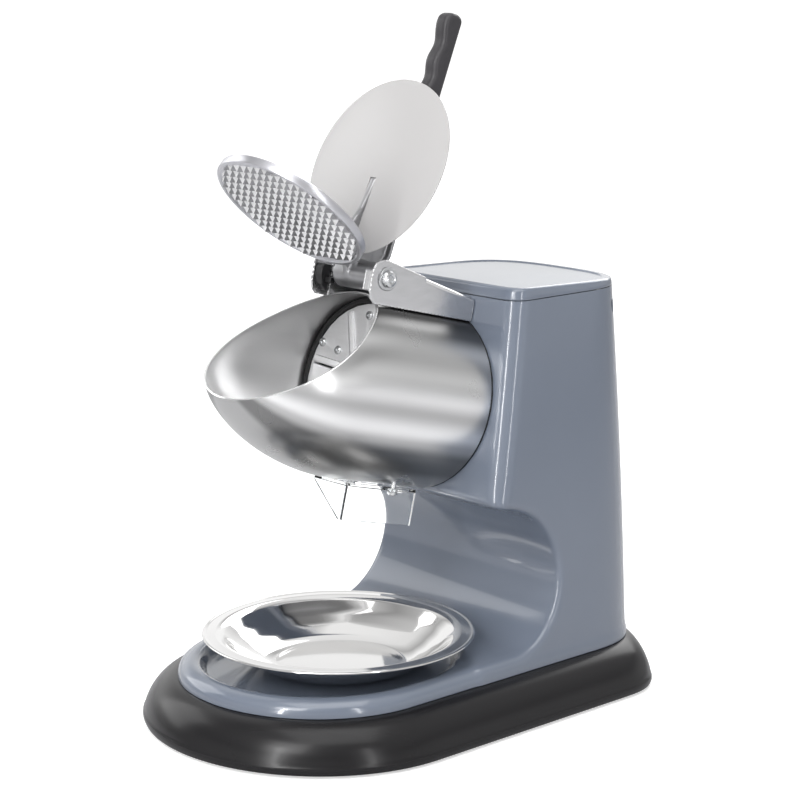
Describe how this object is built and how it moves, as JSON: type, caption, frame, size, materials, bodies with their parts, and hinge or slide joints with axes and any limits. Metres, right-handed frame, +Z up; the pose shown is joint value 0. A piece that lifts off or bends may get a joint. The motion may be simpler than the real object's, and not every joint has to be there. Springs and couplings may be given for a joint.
{
  "type": "shaved ice machine",
  "caption": "Tabletop shaved ice machine with a tilted steel hopper, a hinged press lever with splash cover, a motor column, a clear chute and a lift-out bowl.",
  "frame": {"origin": "on the floor under the middle of the base", "axes": "+Z up, -Y towards the front (bowl and hopper mouth), +X to the right of someone who looks along +Y"},
  "size_m": [0.235, 0.3472, 0.4537],
  "materials": {
    "skirt_plastic": "satin",
    "body_plastic": "gloss",
    "dark_sheet": "matte",
    "foot_rubber": "matte",
    "fastener_steel": "satin",
    "mirror_steel": "polished",
    "blade_steel": "polished",
    "stainless": "satin",
    "black_plastic": "matte",
    "clear_plastic": "gloss",
    "cast_aluminium": "satin",
    "cover_paint": "satin",
    "grip_plastic": "satin",
    "copper_windings": "satin",
    "circuit_board": "matte"
  },
  "bodies": {
    "base": {"base_skirt": "skirt_plastic", "body_shell": "body_plastic", "top_cap": "body_plastic", "base_plate": "dark_sheet", "motor_mount": "dark_sheet", "motor_can": "dark_sheet", "rubber_foot_1": "foot_rubber", "rubber_foot_2": "foot_rubber", "rubber_foot_3": "foot_rubber", "rubber_foot_4": "foot_rubber", "hopper_gasket": "foot_rubber", "disc_seal_ring": "foot_rubber", "base_screw_1": "fastener_steel", "base_screw_2": "fastener_steel", "base_screw_3": "fastener_steel", "base_screw_4": "fastener_steel", "cap_screw_right": "fastener_steel", "cap_screw_left": "fastener_steel", "chute_screw_right": "fastener_steel", "chute_screw_left": "fastener_steel", "bracket_screw_right": "fastener_steel", "bracket_screw_left": "fastener_steel", "pivot_bolt": "fastener_steel", "pivot_nut": "fastener_steel", "front_bearing": "fastener_steel", "rear_bearing": "fastener_steel", "ice_hopper": "stainless", "hopper_back_plate": "stainless", "lever_bracket": "stainless", "rocker_bezel": "black_plastic", "cord_gland": "black_plastic", "safety_switch": "black_plastic", "brush_right": "black_plastic", "brush_left": "black_plastic", "ice_chute": "clear_plastic", "motor_front_bell": "cast_aluminium", "motor_rear_bell": "cast_aluminium", "stator": "copper_windings", "rectifier_board": "circuit_board"},
    "bowl": {"ice_bowl": "mirror_steel"},
    "lever": {"lever_casting": "cast_aluminium", "press_plate": "cast_aluminium", "splash_cover": "cover_paint", "handle_grip": "grip_plastic", "grip_screw": "fastener_steel"},
    "cutter": {"drive_shaft": "fastener_steel", "rotor": "copper_windings", "commutator": "copper_windings", "cooling_fan": "black_plastic", "blade_disc": "stainless", "disc_nut": "fastener_steel", "blade_a1": "blade_steel", "blade_a2": "blade_steel", "blade_b1": "blade_steel", "blade_b2": "blade_steel"},
    "rocker": {"power_rocker": "black_plastic"},
    "plunger": {"switch_plunger": "black_plastic"}
  },
  "joints": [
    {"name": "lever_pivot", "type": "hinge", "parent": "base", "child": "lever", "pos_m": [0, -0.0258, 0.2902], "axis": [1, 0, 0], "range_deg": [0, 124]},
    {"name": "disc_spin", "type": "hinge", "parent": "base", "child": "cutter", "pos_m": [0, 0.0365, 0.2006], "axis": [0, -0.9703, 0.2419], "continuous": true},
    {"name": "bowl_lift", "type": "slide", "parent": "base", "child": "bowl", "axis": [0, 0, 1], "range_m": [0, 0.05]},
    {"name": "rocker_tilt", "type": "hinge", "parent": "base", "child": "rocker", "pos_m": [0, 0.1656, 0.092], "axis": [1, 0, 0], "range_deg": [-16, 0]},
    {"name": "plunger_press", "type": "slide", "parent": "base", "child": "plunger", "axis": [-1, 0, 0], "range_m": [0, 0.0015], "stiffness_N_per_m": 150, "springref_m": -0.001}
  ]
}
